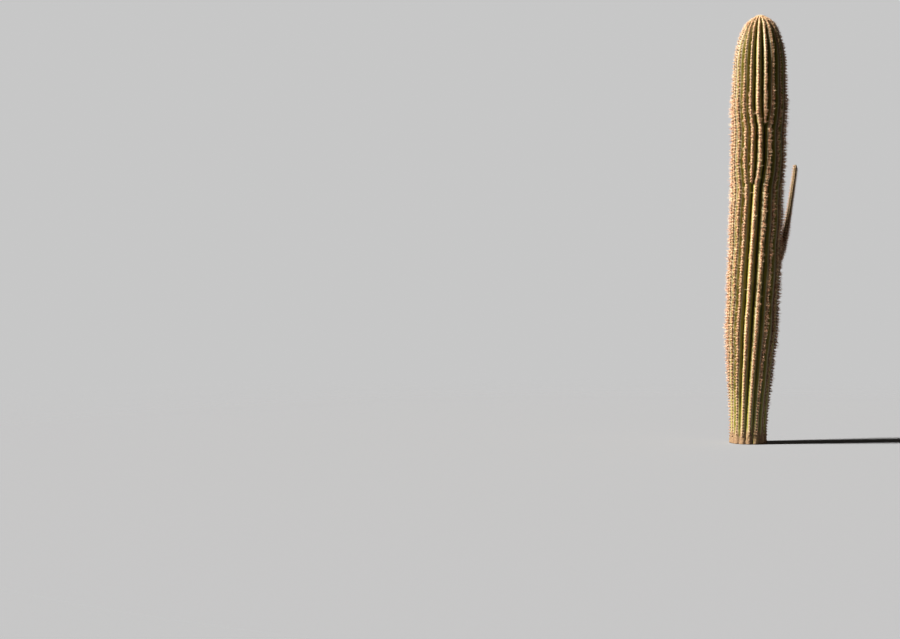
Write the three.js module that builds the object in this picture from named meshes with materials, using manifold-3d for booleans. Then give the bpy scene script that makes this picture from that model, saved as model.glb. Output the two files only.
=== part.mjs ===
// A saguaro cactus: one ribbed column that leans a little, a slender arm behind its right flank,
// and a row of spines along the crest of every rib.
// Millimetres, +Z up. The origin is the middle of the flat cut at ground level. The front is -Y.
import * as THREE from "three";
import { mergeVertices } from "three/addons/utils/BufferGeometryUtils.js";
import Module from "manifold-3d";

const wasm = await Module();
wasm.setup();

const { clamp, lerp, smoothstep, degToRad } = THREE.MathUtils;

// Column
const HEIGHT = 4256; // top of the skin
const LEAN = 118; // how far the top stands to +X of the foot
const LEAN_BOW = 1.3; // 1 would lean most at the ground
const FOOT_RADIUS = 176; // all radii are taken at the crest of the ribs
const BODY_RADIUS = 242;
const CROWN_RADIUS = 254;
const FOOT_TAPER = 1350; // height at which the foot has widened to the body
const FLARE = 10; // the foot spreads this much where it meets the ground
const FLARE_TOP = 170;
const CROWN_SWELL = [2300, 3400]; // heights between which the body widens to the crown
const DOME = 640; // height of the rounded top
const DOME_ROUNDING = 0.435; // 0.5 would be an ellipse; less is blunter
const SHOULDER = HEIGHT - DOME;
const WAVE = 3.5; // seasons of growth bulge and pinch the column by this much
const WAVE_PITCH = 560;
const WAVE_PINCH = 3080; // height of one of the pinches
const GROOVE = 45; // depth from crest to valley
const FOOT_GROOVE_SHARE = 0.4; // the ribs are worn shallow at the ground
const FOOT_GROOVE_END = 900;

// Ribs, counted round from the back through the left flank
const FOOT_RIBS = 17;
const NEW_RIBS = [
  // the rib it comes after, the height of its tip, and how far it pushes the line rib aside, as a
  // share of its own width
  { after: 3, height: 2850, push: 0 },
  { after: 7, height: 2545, push: 0.5 },
  { after: 8, height: 3125, push: -0.5 },
];
const NEW_RIB_WIDTH = 0.8; // of the old rib beside it
const NEW_RIB_EASE = 300; // a new rib reaches its full width this far above its tip
const NEW_RIB_TIP = 50; // and its full height this far above it
const LEAST_WIDTH = 0.06; // the valley floor that waits under a new rib, as a share of a rib
const WIDER_SHARE = 0.15; // ribs on one side are wider by this share
const WIDER_SIDE = degToRad(84);
const LINE_RIB = 8; // one rib on the front sets the bearing of all the others
const LINE_FOOT = degToRad(-18.8); // of its crest, at the ground
const LINE_TWIST = degToRad(6.6) / 1000; // per millimetre of height, up to the turn
const LINE_TURN = 2500;
const CREST_ROUNDING = 1.5; // how slowly a rib falls from its crest; 1 is a plain V

// Arm: distance out from the column's axis, sideways towards the back, and height
const ARM_RIB = 17; // the rib that it grows from, counted from 0
const ARM_PATH = [
  [190, 0, 1690],
  [254, 0, 1746],
  [320, 1, 1840],
  [385, 24, 1930],
  [451, 57, 2046],
  [536, 80, 2305],
  [622, 94, 2674],
  [653, 99, 2834],
];
const ARM_RIBS = 7;
const ARM_RADIUS = [26, 16.5]; // at the trunk and below the tip
const ARM_TIP = 34; // length of the rounded tip
const ARM_TIP_RINGS = [0.45, 0.75, 0.93]; // shares of that length
const ARM_GROOVE = 6;
const ARM_SPLIT = 0.24; // share of the arm's length where the elbow ends
const ARM_ROOT = [1640, 1850]; // heights between which the arm takes the place of spines
const ARM_RINGS = 24;
const ARM_SPINES_FROM = 300; // distance out from the column's axis
const ARM_SPINES_END = 0.985; // share of the arm's length

// Spines
const SPINE_REACH = 26; // beyond the skin
const SPINE_SWAY = 7;
const SPINE_LEAN = 12;
const PAD_HALF_WIDTH = 7; // felt pads at the root of the spines
const PAD_HEIGHT = 7;
const ROW_FOOT = 480; // the spines have worn off below this
const ROW_END_RADIUS = 62; // rows stop where the ribs run together
const CROWN_CAP_RADIUS = 58;
const CROWN_CAP_REACH = 18; // of its spines, above the top of the column
const CROWN_CAP_RINGS = [
  // share of its radius, then the height of a pinch and of a spine as shares of its reach
  [1, -1.2, -1.2],
  [1, -0.55, 0],
  [0.66, 0.2, 1],
  [0.3, 0.45, 1],
];
const ARM_SPINE = { reach: 10, sway: 2, lean: 6, halfWidth: 3, padHeight: 3 };
const TRUNK_SPINE = {
  reach: SPINE_REACH,
  sway: SPINE_SWAY,
  lean: SPINE_LEAN,
  halfWidth: PAD_HALF_WIDTH,
  padHeight: PAD_HEIGHT,
};

// Mesh steps and clearances
const RING_STEP = 100;
const DOME_RINGS = 9;
const SAMPLES = 4; // points across one rib
const CLEAR = 0.8; // outward gap that leaves 0.3 mm or more along a steep flank
const JOINT_GAP = 0.4;

const materials = {
  skin: new THREE.MeshStandardMaterial({ color: 0x76803f, roughness: 0.62, metalness: 0 }),
  spines: new THREE.MeshStandardMaterial({ color: 0xc9a88c, roughness: 0.7, metalness: 0 }),
  wool: new THREE.MeshStandardMaterial({ color: 0xd8bfa0, roughness: 0.95, metalness: 0 }),
};

// Where the column's axis stands at a height: upright at the foot and at the top, leaning between.
function axisX(z) {
  return LEAN * Math.sin((Math.PI * z) / (2 * HEIGHT)) ** LEAN_BOW;
}

// Crest radius of the column at a height.
function crestRadius(z) {
  const foot = lerp(FOOT_RADIUS, BODY_RADIUS, smoothstep(z, 0, FOOT_TAPER));
  const flare = FLARE * (1 - smoothstep(z, -FLARE_TOP, FLARE_TOP)) * 2;
  const crown = (CROWN_RADIUS - BODY_RADIUS) * smoothstep(z, ...CROWN_SWELL);
  const wave = -WAVE * Math.cos((2 * Math.PI * (z - WAVE_PINCH)) / WAVE_PITCH);
  const body = foot + flare + crown + wave * smoothstep(z, 0, FOOT_TAPER);
  const up = Math.max(0, (z - SHOULDER) / DOME);
  return body * Math.max(0, 1 - up * up) ** DOME_ROUNDING;
}

function grooveDepth(z) {
  const worn = lerp(FOOT_GROOVE_SHARE, 1, smoothstep(z, 0, FOOT_GROOVE_END));
  return GROOVE * worn * Math.min(1, crestRadius(z) / BODY_RADIUS);
}

// The ribs in their order round the column, with the height at which each begins. Those that are
// there from the ground up begin endlessly far below it.
const FROM_THE_GROUND = -Infinity;

function ribOrder() {
  return Array.from({ length: FOOT_RIBS }, (_, i) => {
    const bearing = (2 * Math.PI * i) / FOOT_RIBS - Math.PI;
    const width = 1 + WIDER_SHARE * Math.cos(bearing - WIDER_SIDE);
    const added = NEW_RIBS.filter((rib) => rib.after === i).map(({ height, push }) => {
      return { start: height, width: width * NEW_RIB_WIDTH, push };
    });
    return [{ start: FROM_THE_GROUND, width, push: 0, line: i === LINE_RIB }, ...added];
  }).flat();
}
const RIBS = ribOrder();
const LINE = RIBS.findIndex((rib) => rib.line);

// At a height: where each rib starts and ends round the column, and how far it stands out.
// Angles are measured from the front, growing towards +X.
function ribLayout(z) {
  const widths = RIBS.map((rib) => {
    const short = 1 - clamp((z - rib.start) / NEW_RIB_EASE, 0, 1);
    return rib.width * lerp(LEAST_WIDTH, 1, 1 - short * short);
  });
  const total = (list) => list.reduce((sum, width) => sum + width);
  const turn = (2 * Math.PI) / total(widths);
  const pushed = total(widths.map((width, i) => width * RIBS[i].push));
  const before = total(widths.slice(0, LINE)) + widths[LINE] / 2;
  let angle = LINE_FOOT + LINE_TWIST * Math.min(z, LINE_TURN) + turn * (pushed - before);
  return RIBS.map((rib, i) => {
    const width = turn * widths[i];
    const from = angle;
    angle += width;
    return { from, width, rise: smoothstep(z, rib.start, rib.start + NEW_RIB_TIP) };
  });
}

// Radius across one rib: share runs from 0 at one valley, through 0.5 at the crest, to 1.
function ribRadius(crest, depth, rise, share) {
  const fall = Math.abs(2 * share - 1) ** CREST_ROUNDING;
  return crest - depth * (1 - rise * (1 - fall));
}

function columnPoint(z, angle, radius) {
  return new THREE.Vector3(axisX(z) + radius * Math.sin(angle), -radius * Math.cos(angle), z);
}

// The point on the crest of one rib at a height.
function crestPoint(index, z) {
  const { from, width, rise } = ribLayout(z)[index];
  const radius = ribRadius(crestRadius(z), grooveDepth(z), rise, 0.5);
  return columnPoint(z, from + width / 2, radius);
}

// One level ring of the column's skin, pushed out by grow, and up by as much at the very top.
function columnRing(z, grow) {
  const crest = crestRadius(z);
  const depth = grooveDepth(z);
  const lift = grow * Math.max(0, (z - SHOULDER) / DOME);
  return ribLayout(z).flatMap(({ from, width, rise }) =>
    Array.from({ length: SAMPLES }, (_, k) => {
      const share = k / SAMPLES;
      const radius = ribRadius(crest, depth, rise, share) + grow;
      return columnPoint(z, from + width * share, radius).setZ(z + lift);
    }),
  );
}

// Heights of the column's rings: even steps to the shoulder, then closing up over the dome.
function ringHeights() {
  const steps = Math.round(SHOULDER / RING_STEP);
  const body = Array.from({ length: steps + 1 }, (_, k) => (SHOULDER * k) / steps);
  const dome = Array.from({ length: DOME_RINGS }, (_, k) => {
    const turn = (Math.PI / 2) * ((k + 1) / (DOME_RINGS + 0.6));
    return SHOULDER + DOME * Math.sin(turn);
  });
  return [...body, ...dome];
}

// A closed skin over rings that all have the same number of points, running up to a tip.
// It ends below in the point foot, or in a flat cut where there is none.
function loft(rings, tip, foot) {
  const count = rings[0].length;
  const points = [...rings.flat(), tip];
  const tipIndex = points.length - 1;
  const around = rings[0].map((_, i) => [i, (i + 1) % count]);
  const faces = rings.slice(1).flatMap((_, r) =>
    around.flatMap(([i, j]) => {
      const [a, b] = [r * count + i, r * count + j];
      return [a, b, b + count, a, b + count, a + count];
    }),
  );
  const last = (rings.length - 1) * count;
  faces.push(...around.flatMap(([i, j]) => [last + i, last + j, tipIndex]));
  if (foot) {
    points.push(foot);
    faces.push(...around.flatMap(([i, j]) => [j, i, tipIndex + 1]));
  } else {
    faces.push(...flatCut(rings[0], points));
  }
  return geometryOf(points, faces);
}

// Triangles of the level cut, with one triangle round the origin so that the origin lies inside it.
// Its corners are added to points.
function flatCut(ring, points) {
  const start = points.length;
  const corners = [0, 1, 2].map((k) => {
    const angle = (2 * Math.PI * k) / 3;
    const reach = FOOT_RADIUS / 3;
    return new THREE.Vector3(reach * Math.cos(angle), reach * Math.sin(angle), ring[0].z);
  });
  points.push(...corners);
  const flat = (list) => list.map((p) => new THREE.Vector2(p.x, p.y));
  const between = THREE.ShapeUtils.triangulateShape(flat(ring), [flat(corners)]);
  const inner = corners.map((_, k) => ring.length + k);
  const index = (i) => (i < ring.length ? i : start + i - ring.length);
  return [...between, inner].flatMap((face) => {
    const [a, b, c] = face.map(index);
    const normal = new THREE.Triangle(points[a], points[b], points[c]).getNormal(new THREE.Vector3());
    return normal.z < 0 ? [a, b, c] : [a, c, b];
  });
}

function geometryOf(points, faces) {
  const geometry = new THREE.BufferGeometry().setFromPoints(points);
  geometry.setIndex(faces);
  geometry.computeVertexNormals();
  return geometry;
}

// A row of teeth along stations, each { point, out, side, along }: a felt pad with a spine standing
// at every station, leaning to the left and right in turn.
function spineRow(stations, { reach, sway, lean, halfWidth, padHeight }) {
  const points = [];
  const faces = [];
  stations.forEach(({ point, out, side, along }, k) => {
    const way = k % 2 ? 1 : -1;
    const at = (aside, above) => point.clone().addScaledVector(side, aside).addScaledVector(out, above);
    const tip = at(way * sway, reach).addScaledVector(along, way * lean);
    points.push(at(-halfWidth, CLEAR), at(halfWidth, CLEAR), tip);
    const next = stations[k + 1];
    if (next) {
      const middle = point.clone().lerp(next.point, 0.5);
      points.push(middle.addScaledVector(out, padHeight));
    }
  });
  const perStation = 4;
  const end = perStation * (stations.length - 1);
  for (let left = 0; left < end; left += perStation) {
    const [right, tip, low, nextLeft, nextRight, nextTip] = [1, 2, 3, 4, 5, 6].map((n) => left + n);
    faces.push(left, low, nextLeft, left, tip, low, nextLeft, low, nextTip);
    faces.push(right, nextRight, low, right, low, tip, nextRight, nextTip, low);
    faces.push(left, nextRight, right, left, nextLeft, nextRight);
  }
  faces.push(0, 1, 2, end, end + 2, end + 1);
  return geometryOf(points, faces);
}

// Stations along a line of crest points; outward is taken from a point inside the limb.
function stationsAlong(crests, centres) {
  return crests.map((point, k) => {
    const before = crests[Math.max(0, k - 1)];
    const after = crests[Math.min(crests.length - 1, k + 1)];
    const along = new THREE.Vector3().subVectors(after, before).normalize();
    const out = new THREE.Vector3().subVectors(point, centres[k]);
    out.addScaledVector(along, -out.dot(along)).normalize();
    const side = new THREE.Vector3().crossVectors(along, out).normalize();
    return { point, out, side, along };
  });
}

function solidOf(geometry) {
  const bare = geometry.clone();
  bare.deleteAttribute("normal");
  const merged = mergeVertices(bare, 1e-4);
  return new wasm.Manifold(
    new wasm.Mesh({
      numProp: 3,
      vertProperties: merged.attributes.position.array,
      triVerts: new Uint32Array(merged.index.array),
    }),
  );
}

function geometryOfSolid(solid) {
  const { vertProperties, triVerts } = solid.getMesh();
  const geometry = new THREE.BufferGeometry();
  geometry.setAttribute("position", new THREE.BufferAttribute(new Float32Array(vertProperties), 3));
  geometry.setIndex(new THREE.BufferAttribute(new Uint32Array(triVerts), 1));
  geometry.computeVertexNormals();
  return geometry;
}

function meshOf(name, geometry, material) {
  const mesh = new THREE.Mesh(geometry, material);
  mesh.name = name;
  return mesh;
}

function columnSkin(grow) {
  const rings = ringHeights().map((z) => columnRing(z, grow));
  return loft(rings, new THREE.Vector3(axisX(HEIGHT), 0, HEIGHT + grow));
}

// The spine rows of the column, one for each rib, from its foot or its tip to the dome.
// The row of the rib that carries the arm is in two stretches, below and above it.
function columnRows() {
  const heights = ringHeights().filter((z) => crestRadius(z) > ROW_END_RADIUS);
  return RIBS.flatMap((rib, i) => {
    const foot = Math.max(ROW_FOOT, rib.start + NEW_RIB_TIP);
    const name = "spine_row_" + String(i + 1).padStart(2, "0");
    const stretches = { [name]: [foot, HEIGHT] };
    if (i === ARM_RIB) {
      stretches[name] = [foot, ARM_ROOT[0]];
      stretches[name + "_above_arm"] = [ARM_ROOT[1], HEIGHT];
    }
    return Object.entries(stretches).map(([label, [low, high]]) => {
      const inside = heights.filter((z) => z > low && z < high);
      const crests = inside.map((z) => crestPoint(i, z));
      const centres = inside.map((z) => new THREE.Vector3(axisX(z), 0, Math.min(z, SHOULDER)));
      return meshOf(label, spineRow(stationsAlong(crests, centres), TRUNK_SPINE), materials.spines);
    });
  });
}

// The woolly, spiny cap where all the ribs run together, hollowed to sit on the column's top.
// Its spines stand up between the ribs, and it is pinched in at every rib.
function crownCap() {
  const count = 2 * RIBS.length;
  const on = (radius, above, k) => {
    const angle = (2 * Math.PI * k) / count;
    return columnPoint(HEIGHT, angle, radius * CROWN_CAP_RADIUS).setZ(HEIGHT + above * CROWN_CAP_REACH);
  };
  const rings = CROWN_CAP_RINGS.map(([radius, pinch, spine]) =>
    Array.from({ length: count }, (_, k) => on(radius, k % 2 ? spine : pinch, k)),
  );
  const cap = solidOf(loft(rings, on(0, 1, 0), on(0, CROWN_CAP_RINGS[0][1], 0)));
  const seated = cap.subtract(solidOf(columnSkin(CLEAR)));
  return meshOf("crown_cap", geometryOfSolid(seated), materials.wool);
}

const armPath = new THREE.CatmullRomCurve3(ARM_PATH.map((knot) => new THREE.Vector3(...knot)));

// Rings of the arm square to its path, each with its place on the path.
function armRings() {
  const tipShare = ARM_TIP / armPath.getLength();
  const stem = Array.from({ length: ARM_RINGS }, (_, k) => ((1 - tipShare) * k) / (ARM_RINGS - 1));
  const shares = [...stem, ...ARM_TIP_RINGS.map((s) => 1 - tipShare * (1 - s))];
  return shares.map((share) => {
    const centre = armPath.getPointAt(share);
    const along = armPath.getTangentAt(share);
    const side = new THREE.Vector3(0, 1, 0).addScaledVector(along, -along.y).normalize();
    const out = new THREE.Vector3().crossVectors(side, along);
    const up = Math.max(0, 1 - (1 - share) / tipShare);
    const crest = lerp(...ARM_RADIUS, share) * Math.sqrt(1 - up * up);
    const groove = (ARM_GROOVE * crest) / ARM_RADIUS[0];
    const ring = Array.from({ length: ARM_RIBS * SAMPLES }, (_, k) => {
      const angle = (2 * Math.PI * k) / (ARM_RIBS * SAMPLES);
      const radius = ribRadius(crest, groove, 1, (k / SAMPLES) % 1);
      const point = centre.clone().addScaledVector(out, radius * Math.cos(angle));
      return point.addScaledVector(side, radius * Math.sin(angle));
    });
    return { share, centre, along, ring };
  });
}

// The elbow, hollowed at its root to sit on the column; toGroup takes the column to the arm's group.
function elbowSolid(rings, toGroup) {
  const whole = loft(rings.map(({ ring }) => ring), rings.at(-1).centre, rings[0].centre);
  const column = solidOf(columnSkin(CLEAR).applyMatrix4(toGroup));
  return geometryOfSolid(solidOf(whole).subtract(column));
}

// The long rising part, its foot a small gap above the elbow's end.
function uprightSolid([first, ...rest]) {
  const raised = (point) => point.clone().addScaledVector(first.along, JOINT_GAP);
  const rings = [first.ring.map(raised), ...rest.map(({ ring }) => ring)];
  return loft(rings, armPath.getPointAt(1), raised(first.centre));
}

// The arm and its spine rows, in a group turned so that its path rises from the crest of its rib.
function armGroup() {
  const rings = armRings();
  const split = rings.findIndex(({ share }) => share > ARM_SPLIT);
  const rootHeight = ARM_PATH[0][2];
  const root = crestPoint(ARM_RIB, rootHeight);
  const group = new THREE.Group();
  group.position.x = axisX(rootHeight);
  group.rotation.z = Math.atan2(root.y, root.x - group.position.x);
  group.updateMatrix();
  const elbow = elbowSolid(rings.slice(0, split + 1), group.matrix.clone().invert());
  group.add(meshOf("arm_elbow", elbow, materials.skin));
  group.add(meshOf("arm_upright", uprightSolid(rings.slice(split)), materials.skin));

  const spiny = rings.filter(({ centre, share }) => centre.x > ARM_SPINES_FROM && share < ARM_SPINES_END);
  for (let i = 0; i < ARM_RIBS; i++) {
    const crests = spiny.map(({ ring }) => ring[(i + 0.5) * SAMPLES]);
    const row = spineRow(stationsAlong(crests, spiny.map(({ centre }) => centre)), ARM_SPINE);
    group.add(meshOf("arm_spine_row_" + (i + 1), row, materials.spines));
  }
  return group;
}

const saguaro = new THREE.Group();
saguaro.add(meshOf("trunk", columnSkin(0), materials.skin));
saguaro.add(...columnRows());
saguaro.add(crownCap());
saguaro.add(armGroup());

export default saguaro;
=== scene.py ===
# %% [markdown]
# A saguaro cactus, dressed for its picture.
# The plain model says where the column, its ribs, the arm and the rows of spines stand. This lesson
# gives the plant its real skin, its felt pads and its spines, and then a floor, light and a camera.
# All lengths are metres, +Z is up, and the front of the plant looks towards -Y.

import math

import bpy
import numpy as np
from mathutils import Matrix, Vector, noise


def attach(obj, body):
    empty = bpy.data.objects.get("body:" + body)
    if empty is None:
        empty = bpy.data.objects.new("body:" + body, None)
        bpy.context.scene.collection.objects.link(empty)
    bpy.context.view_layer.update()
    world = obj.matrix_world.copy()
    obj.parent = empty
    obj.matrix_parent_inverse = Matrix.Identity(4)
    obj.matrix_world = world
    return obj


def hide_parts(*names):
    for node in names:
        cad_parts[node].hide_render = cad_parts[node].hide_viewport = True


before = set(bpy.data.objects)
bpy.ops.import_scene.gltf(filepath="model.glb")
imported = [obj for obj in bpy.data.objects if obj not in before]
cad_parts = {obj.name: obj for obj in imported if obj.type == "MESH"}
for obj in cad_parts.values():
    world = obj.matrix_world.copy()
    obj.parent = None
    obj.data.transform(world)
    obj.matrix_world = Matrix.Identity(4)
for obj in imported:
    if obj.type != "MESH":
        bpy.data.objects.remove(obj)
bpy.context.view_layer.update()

# %% [markdown]
# The column is the plant's trunk. It leans a little to +X in one slow bow, widens from a narrow
# foot, pinches and bulges with the seasons, and ends in a rounded top. It could be modelled by hand
# or lofted from drawn outlines. A rule for its axis and its radius at every height is better here,
# because the skin, the pads and the spines all ask the same rule where the surface is.

# %% The column's axis and its radius
HEIGHT = 4.256
LEAN = 0.118
LEAN_BOW = 1.3  # 1 for a plain quarter wave, more for a foot that stands straighter
FOOT_RADIUS = 0.176  # all radii are taken at the crest of the ribs
BODY_RADIUS = 0.242
CROWN_RADIUS = 0.254
FOOT_TAPER = 1.35
FLARE = 0.010
FLARE_TOP = 0.17
CROWN_SWELL = (2.3, 3.4)  # heights between which the column widens to its crown
DOME = 0.64
DOME_ROUNDING = 0.435  # 0.5 for an ellipse, less for a blunter top
SHOULDER = HEIGHT - DOME
WAVE = 0.0035
WAVE_PITCH = 0.56
WAVE_PINCH = 3.08  # height of one of the pinches


def mix(a, b, share):
    return a + (b - a) * share


def ease(value, low, high):
    """0 below low, 1 above high and a smooth rise between them."""
    share = np.clip((value - low) / (high - low), 0, 1)
    return share * share * (3 - 2 * share)


def axis_x(z):
    return LEAN * np.sin(math.pi * np.clip(z, 0, HEIGHT) / (2 * HEIGHT)) ** LEAN_BOW


def around_axis(z, radius, angle):
    """Points at a height, a distance from the axis and an angle that grows from the front to +X."""
    x = axis_x(z) + radius * np.sin(angle)
    return np.stack([x, -radius * np.cos(angle), z + 0 * angle], axis=-1)


def crest_radius(z):
    foot = mix(FOOT_RADIUS, BODY_RADIUS, ease(z, 0, FOOT_TAPER))
    flare = 2 * FLARE * (1 - ease(z, -FLARE_TOP, FLARE_TOP))
    crown = (CROWN_RADIUS - BODY_RADIUS) * ease(z, *CROWN_SWELL)
    wave = -WAVE * np.cos(2 * math.pi * (z - WAVE_PINCH) / WAVE_PITCH)
    body = foot + flare + crown + wave * ease(z, 0, FOOT_TAPER)
    up = np.clip((z - SHOULDER) / DOME, 0, 1)
    return body * (1 - up * up) ** DOME_ROUNDING


print("the column is", round(2000 * float(crest_radius(2.0))), "mm thick at a height of 2 m")

# %% [markdown]
# The ribs are what a saguaro is known by. They let the column swell with rain like an accordion.
# This one has 17 ribs at the foot, and 3 more begin higher up as blunt fingers between two old ones.
# A twisted star could be lofted once, but then no rib could begin on its own. So each rib has a
# width at each height, the widths are shared out round the column, and a new rib starts from almost
# no width and grows into its place. One rib on the front sets the bearing of all the others, and the
# new ribs on either side of it push it aside as they grow.

# %% The ribs round the column
FOOT_RIBS = 17
# A new rib is named by the one it comes after. It has the height of its tip, and how far it pushes
# the line rib aside, as a share of its own width.
NEW_RIBS = {3: (2.85, 0), 7: (2.545, 0.5), 8: (3.125, -0.5)}
FROM_FAR_BELOW = -10.0
NEW_RIB_WIDTH = 0.8
NEW_RIB_EASE = 0.30
NEW_RIB_TIP = 0.05
LEAST_WIDTH = 0.06
WIDER_SHARE = 0.15
WIDER_SIDE = math.radians(84)
LINE_RIB = 8  # one rib on the front sets the bearing of all the others
LINE_FOOT = math.radians(-18.8)
LINE_TWIST = math.radians(6.6)
LINE_TURN = 2.5


def rib_order():
    """Where each rib begins, its width and its push, in their order round the column."""
    ribs = []
    for i in range(FOOT_RIBS):
        width = 1 + WIDER_SHARE * math.cos(2 * math.pi * i / FOOT_RIBS - math.pi - WIDER_SIDE)
        ribs.append((FROM_FAR_BELOW, width, 0))
        if i in NEW_RIBS:
            height, push = NEW_RIBS[i]
            ribs.append((height, width * NEW_RIB_WIDTH, push))
    return np.array(ribs).T


RIB_STARTS, RIB_WIDTHS, RIB_PUSHES = rib_order()
RIBS = len(RIB_STARTS)
LINE = LINE_RIB + sum(after < LINE_RIB for after in NEW_RIBS)


def rib_layout(z):
    """For each height: where every rib starts, how wide it is and how far it stands out."""
    z = np.asarray(z, float)[:, None]
    short = 1 - np.clip((z - RIB_STARTS) / NEW_RIB_EASE, 0, 1)
    widths = RIB_WIDTHS * mix(LEAST_WIDTH, 1, 1 - short * short)
    widths *= 2 * math.pi / widths.sum(axis=1, keepdims=True)
    before = np.cumsum(widths, axis=1) - widths
    pushed = (widths * RIB_PUSHES).sum(axis=1, keepdims=True)
    line = LINE_FOOT + LINE_TWIST * np.minimum(z, LINE_TURN) + pushed
    starts = line + before - (before + widths / 2)[:, LINE : LINE + 1]
    return starts, widths, ease(z, RIB_STARTS, RIB_STARTS + NEW_RIB_TIP)


print(RIBS, "ribs at the top,", FOOT_RIBS, "of them from the ground")

# %% [markdown]
# Areoles are the small cushions that sit in a line along the crest of every rib, about 29 mm apart.
# Every spine grows out of one. They crowd together towards the growing tip. Placing them by height
# alone would spread them too far on the dome, where the crest runs almost level. So the crest of
# each rib is measured along its own length, and the areoles are counted off along it.

# %% Count off the areoles along each crest
AREOLE_PITCH = 0.029
AREOLE_PITCH_TOP = 0.013
CROWDED_FROM = SHOULDER + 0.3
CROWDING_POWER = 1.5
BODY_STEPS = 1500
DOME_STEPS = 500
random = np.random.default_rng(41)
AREOLE_PHASE = random.uniform(0, 1, RIBS)

crest_heights = np.concatenate([
    np.linspace(0, SHOULDER, BODY_STEPS, endpoint=False),
    SHOULDER + DOME * np.sin(np.linspace(0, math.pi / 2, DOME_STEPS)),
])


def areole_pitch(z):
    return mix(AREOLE_PITCH, AREOLE_PITCH_TOP, ease(z, CROWDED_FROM, HEIGHT) ** CROWDING_POWER)


def counts_along_crests():
    """How many areoles lie below each of crest_heights, on every rib."""
    starts, widths, _ = rib_layout(crest_heights)
    z = crest_heights[:, None]
    places = around_axis(z, crest_radius(z), starts + widths / 2)
    steps = np.linalg.norm(np.diff(places, axis=0), axis=2)
    pitch = areole_pitch((crest_heights[1:] + crest_heights[:-1]) / 2)[:, None]
    return np.concatenate([np.zeros((1, RIBS)), np.cumsum(steps / pitch, axis=0)])


AREOLE_COUNTS = counts_along_crests()
print("a rib carries about", round(AREOLE_COUNTS[-1].mean()), "areoles from the ground to the tip")

# %% [markdown]
# The skin is taut and waxy over fleshy ribs. A plain loft of the ribs looks like a lathe job, so the
# real relief goes into the mesh: a swelling under every areole and a notch between two of them,
# crests that wander a little, faint creases across the ribs, and cracked cork at the old foot.
# A displacement map could do this, but it would be lost where the mesh itself is used, so the
# heights are added to the radius before the mesh is made.

# %% The depth of the grooves and the relief of the skin
GROOVE = 0.045
FOOT_GROOVE_SHARE = 0.4
FOOT_GROOVE_END = 0.9
CREST_ROUNDING = 2.0
VALLEY_FILL = 0.07
VALLEY_FILL_WIDTH = 0.14
SWELLING = 0.0055
SWELLING_LENGTH = 0.0092
SWELLING_WIDTH = 0.011
NOTCH = 0.4  # depth between two swellings, as a share of their height
# Slow waves of the crests, outwards and sideways: the height of each wave and its turn to the metre.
WAVES_OUT = ((0.0010, 12.1), (0.0006, 33.7))
WAVES_ASIDE = ((0.0007, 9.3), (0.0004, 27.9))
CREASE = 0.0011
CREASE_PITCH = 0.047
CREASE_BEND = 3
CREASE_BEND_TURN = 2.1
RIB_SWAY = random.uniform(0, 2 * math.pi, (4, RIBS))


def groove_depth(z):
    worn = mix(FOOT_GROOVE_SHARE, 1, ease(z, 0, FOOT_GROOVE_END))
    return GROOVE * worn * np.minimum(1, crest_radius(z) / BODY_RADIUS)


def away_from_areole(z, rib):
    """Distance along the crest from the nearest areole."""
    count = np.zeros(len(z))
    for i in range(RIBS):
        mine = rib == i
        count[mine] = np.interp(z[mine], crest_heights, AREOLE_COUNTS[:, i]) - AREOLE_PHASE[i]
    return np.abs((count + 0.5) % 1 - 0.5) * areole_pitch(z)


def waves(z, shapes, phases):
    return sum(height * np.sin(turn * z + phase) for (height, turn), phase in zip(shapes, phases))


def skin_points(z, rib, share):
    """Points of the skin, and how deep in its valley and how near an areole each one lies.
    share runs across a rib, from 0 in one valley through 0.5 on the crest to 1 in the next."""
    starts, widths, rises = rib_layout(z)
    row = np.arange(len(z))
    start, width, rise = starts[row, rib], widths[row, rib], rises[row, rib]
    across = np.abs(2 * share - 1)
    fall = across**CREST_ROUNDING - VALLEY_FILL * np.exp(-(((1 - across) / VALLEY_FILL_WIDTH) ** 2))
    crest = crest_radius(z)
    room = crest / BODY_RADIUS
    away = away_from_areole(z, rib)
    aside = (share - 0.5) * width * crest
    narrow = np.exp(-((aside / (SWELLING_WIDTH * room + 1e-6)) ** 2))
    bump = np.exp(-((away / SWELLING_LENGTH) ** 2)) * narrow
    sway = RIB_SWAY[:, rib]
    wander = waves(z, WAVES_OUT, sway[:2])
    lateral = waves(z, WAVES_ASIDE, sway[2:])
    bend = CREASE_BEND * np.sin(CREASE_BEND_TURN * z + sway[1])
    crease = CREASE * np.sin(2 * math.pi * z / CREASE_PITCH + bend) * across
    relief = SWELLING * (bump - NOTCH * narrow) + (wander + crease) * np.minimum(1, room)
    radius = crest - groove_depth(z) * (1 - rise * (1 - fall)) + relief * rise * np.minimum(1, 2 * room)
    angle = start + width * share + lateral * (1 - across) * room / np.maximum(crest, 0.02)
    valley = 1 - rise * (1 - across)
    return around_axis(z, radius, angle), valley, bump * rise


print("the grooves are", round(1000 * float(groove_depth(2.0))), "mm deep at a height of 2 m")

# %% [markdown]
# Every piece of the plant is a mesh of points and faces with one finish, and it rides on the plant's
# only body. The same few lines would follow each piece, so they are one helper. Three more help with
# skins: they join rings of points, close both ends, and mark every point with numbers. The last one
# repeats the faces of one small body for thousands of them.

# %% Helpers that make a piece
def make_piece(name, points, faces, finish, slot, replaced=()):
    mesh = bpy.data.meshes.new(name)
    mesh.from_pydata(points, [], faces, shade_flat=False)
    mesh.materials.append(finish)
    piece = bpy.data.objects.new(name, mesh)
    bpy.context.scene.collection.objects.link(piece)
    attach(piece, "root")
    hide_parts(*replaced)
    triangles = sum(len(face) - 2 for face in faces) if isinstance(faces, list) else len(faces)
    print(name, "has", triangles, "triangles")
    return piece


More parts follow.
